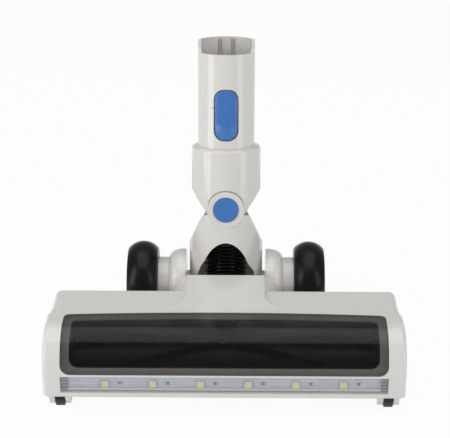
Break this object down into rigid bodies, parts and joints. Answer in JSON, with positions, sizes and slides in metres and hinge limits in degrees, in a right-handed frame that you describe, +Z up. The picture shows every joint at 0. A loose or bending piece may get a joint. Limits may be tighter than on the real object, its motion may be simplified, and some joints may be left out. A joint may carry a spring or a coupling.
{
  "type": "vacuum floor brush head",
  "caption": "Motorised vacuum floor head with a windowed brush roller, light strip, rear wheels and a tilting, swivelling neck with a push-button wand socket.",
  "frame": {"origin": "centre of the bounding box on the floor", "axes": "+X to the right seen from the front, front towards -Y, +Z up"},
  "size_m": [0.259, 0.1922, 0.2214],
  "materials": {
    "white_shell": "satin moulded",
    "inner_shell": "matt moulded",
    "smoked_window": "clear smoked",
    "clear_lens": "clear",
    "circuit_board": "solder mask",
    "led_phosphor": "matt",
    "chip_ceramic": "matt",
    "steel": "zinc plated",
    "motor_steel": "plated",
    "brush_black": "matt",
    "bristle_nylon": "bristle",
    "grey_plastic": "matt",
    "black_plastic": "satin",
    "belt_rubber": "matt",
    "tyre_rubber": "satin",
    "hose_rubber": "satin",
    "blue_plastic": "satin moulded",
    "contact_brass": "plated"
  },
  "bodies": {
    "head": {"top_housing": "white_shell", "base_plate": "white_shell", "window": "smoked_window", "led_lens": "clear_lens", "led_board": "circuit_board", "led_chips": "led_phosphor", "led_resistors": "chip_ceramic", "chamber_liner": "inner_shell", "suction_duct": "inner_shell", "belt_cover": "white_shell", "bearing_cover": "white_shell", "base_screws": "steel", "brush_bush_left": "grey_plastic", "brush_bush_right": "grey_plastic", "drive_belt": "belt_rubber", "motor_can": "motor_steel", "motor_screws": "steel", "castor_pin_left": "steel", "castor_pin_right": "steel", "axle_left": "steel", "axle_right": "steel", "axle_cap_left": "black_plastic", "axle_cap_right": "black_plastic", "hose_cuff_lower": "black_plastic", "flex_hose": "hose_rubber"},
    "brush": {"brush_core": "brush_black", "brush_bristles": "bristle_nylon", "brush_pulley": "grey_plastic"},
    "motor_rotor": {"motor_shaft": "steel", "motor_pulley": "grey_plastic"},
    "wheel_left": {"tyre_left": "tyre_rubber", "hub_left": "black_plastic"},
    "wheel_right": {"tyre_right": "tyre_rubber", "hub_right": "black_plastic"},
    "front_castor_left": {"castor_left": "black_plastic"},
    "front_castor_right": {"castor_right": "black_plastic"},
    "yoke": {"yoke_front": "white_shell", "yoke_rear": "white_shell", "yoke_screws": "steel", "pivot_pin_front": "steel", "pivot_pin_rear": "steel", "pivot_cap_front": "blue_plastic", "pivot_cap_rear": "blue_plastic"},
    "upper_neck": {"collar_front": "white_shell", "collar_rear": "white_shell", "collar_screw": "steel", "wand_tube": "white_shell", "contact_strips": "contact_brass", "button_spring": "steel", "hose_cuff_upper": "black_plastic"},
    "button": {"release_button": "blue_plastic"}
  },
  "joints": [
    {"name": "neck_tilt", "type": "hinge", "parent": "head", "child": "yoke", "pos_m": [0, 0.03493, 0.033], "axis": [-1, 0, 0], "range_deg": [0, 74], "deforming": ["flex_hose"]},
    {"name": "neck_swivel", "type": "hinge", "parent": "yoke", "child": "upper_neck", "pos_m": [0, 0.04865, 0.09756], "axis": [0, -0.9781, 0.2079], "range_deg": [-40, 40]},
    {"name": "button_press", "type": "hinge", "parent": "upper_neck", "child": "button", "pos_m": [0, 0.04641, 0.17675], "axis": [1, 0, 0], "range_deg": [0, 2.5], "stiffness_Nm_per_rad": 2, "springref_deg": -1.15, "deforming": ["button_spring"]},
    {"name": "brush_spin", "type": "hinge", "parent": "head", "child": "brush", "pos_m": [0, -0.06607, 0.0215], "axis": [1, 0, 0], "continuous": true},
    {"name": "motor_spin", "type": "hinge", "parent": "head", "child": "motor_rotor", "pos_m": [-0.11835, -0.02487, 0.0356], "axis": [1, 0, 0], "continuous": true},
    {"name": "wheel_left_spin", "type": "hinge", "parent": "head", "child": "wheel_left", "pos_m": [-0.0649, 0.03493, 0.033], "axis": [1, 0, 0], "continuous": true},
    {"name": "wheel_right_spin", "type": "hinge", "parent": "head", "child": "wheel_right", "pos_m": [0.0649, 0.03493, 0.033], "axis": [1, 0, 0], "continuous": true},
    {"name": "castor_left_spin", "type": "hinge", "parent": "head", "child": "front_castor_left", "pos_m": [-0.1177, -0.08867, 0.0048], "axis": [1, 0, 0], "continuous": true},
    {"name": "castor_right_spin", "type": "hinge", "parent": "head", "child": "front_castor_right", "pos_m": [0.1177, -0.08867, 0.0048], "axis": [1, 0, 0], "continuous": true}
  ],
  "couplings": [
    {"joint": "motor_spin", "follows": "brush_spin", "ratio": 1.6}
  ]
}
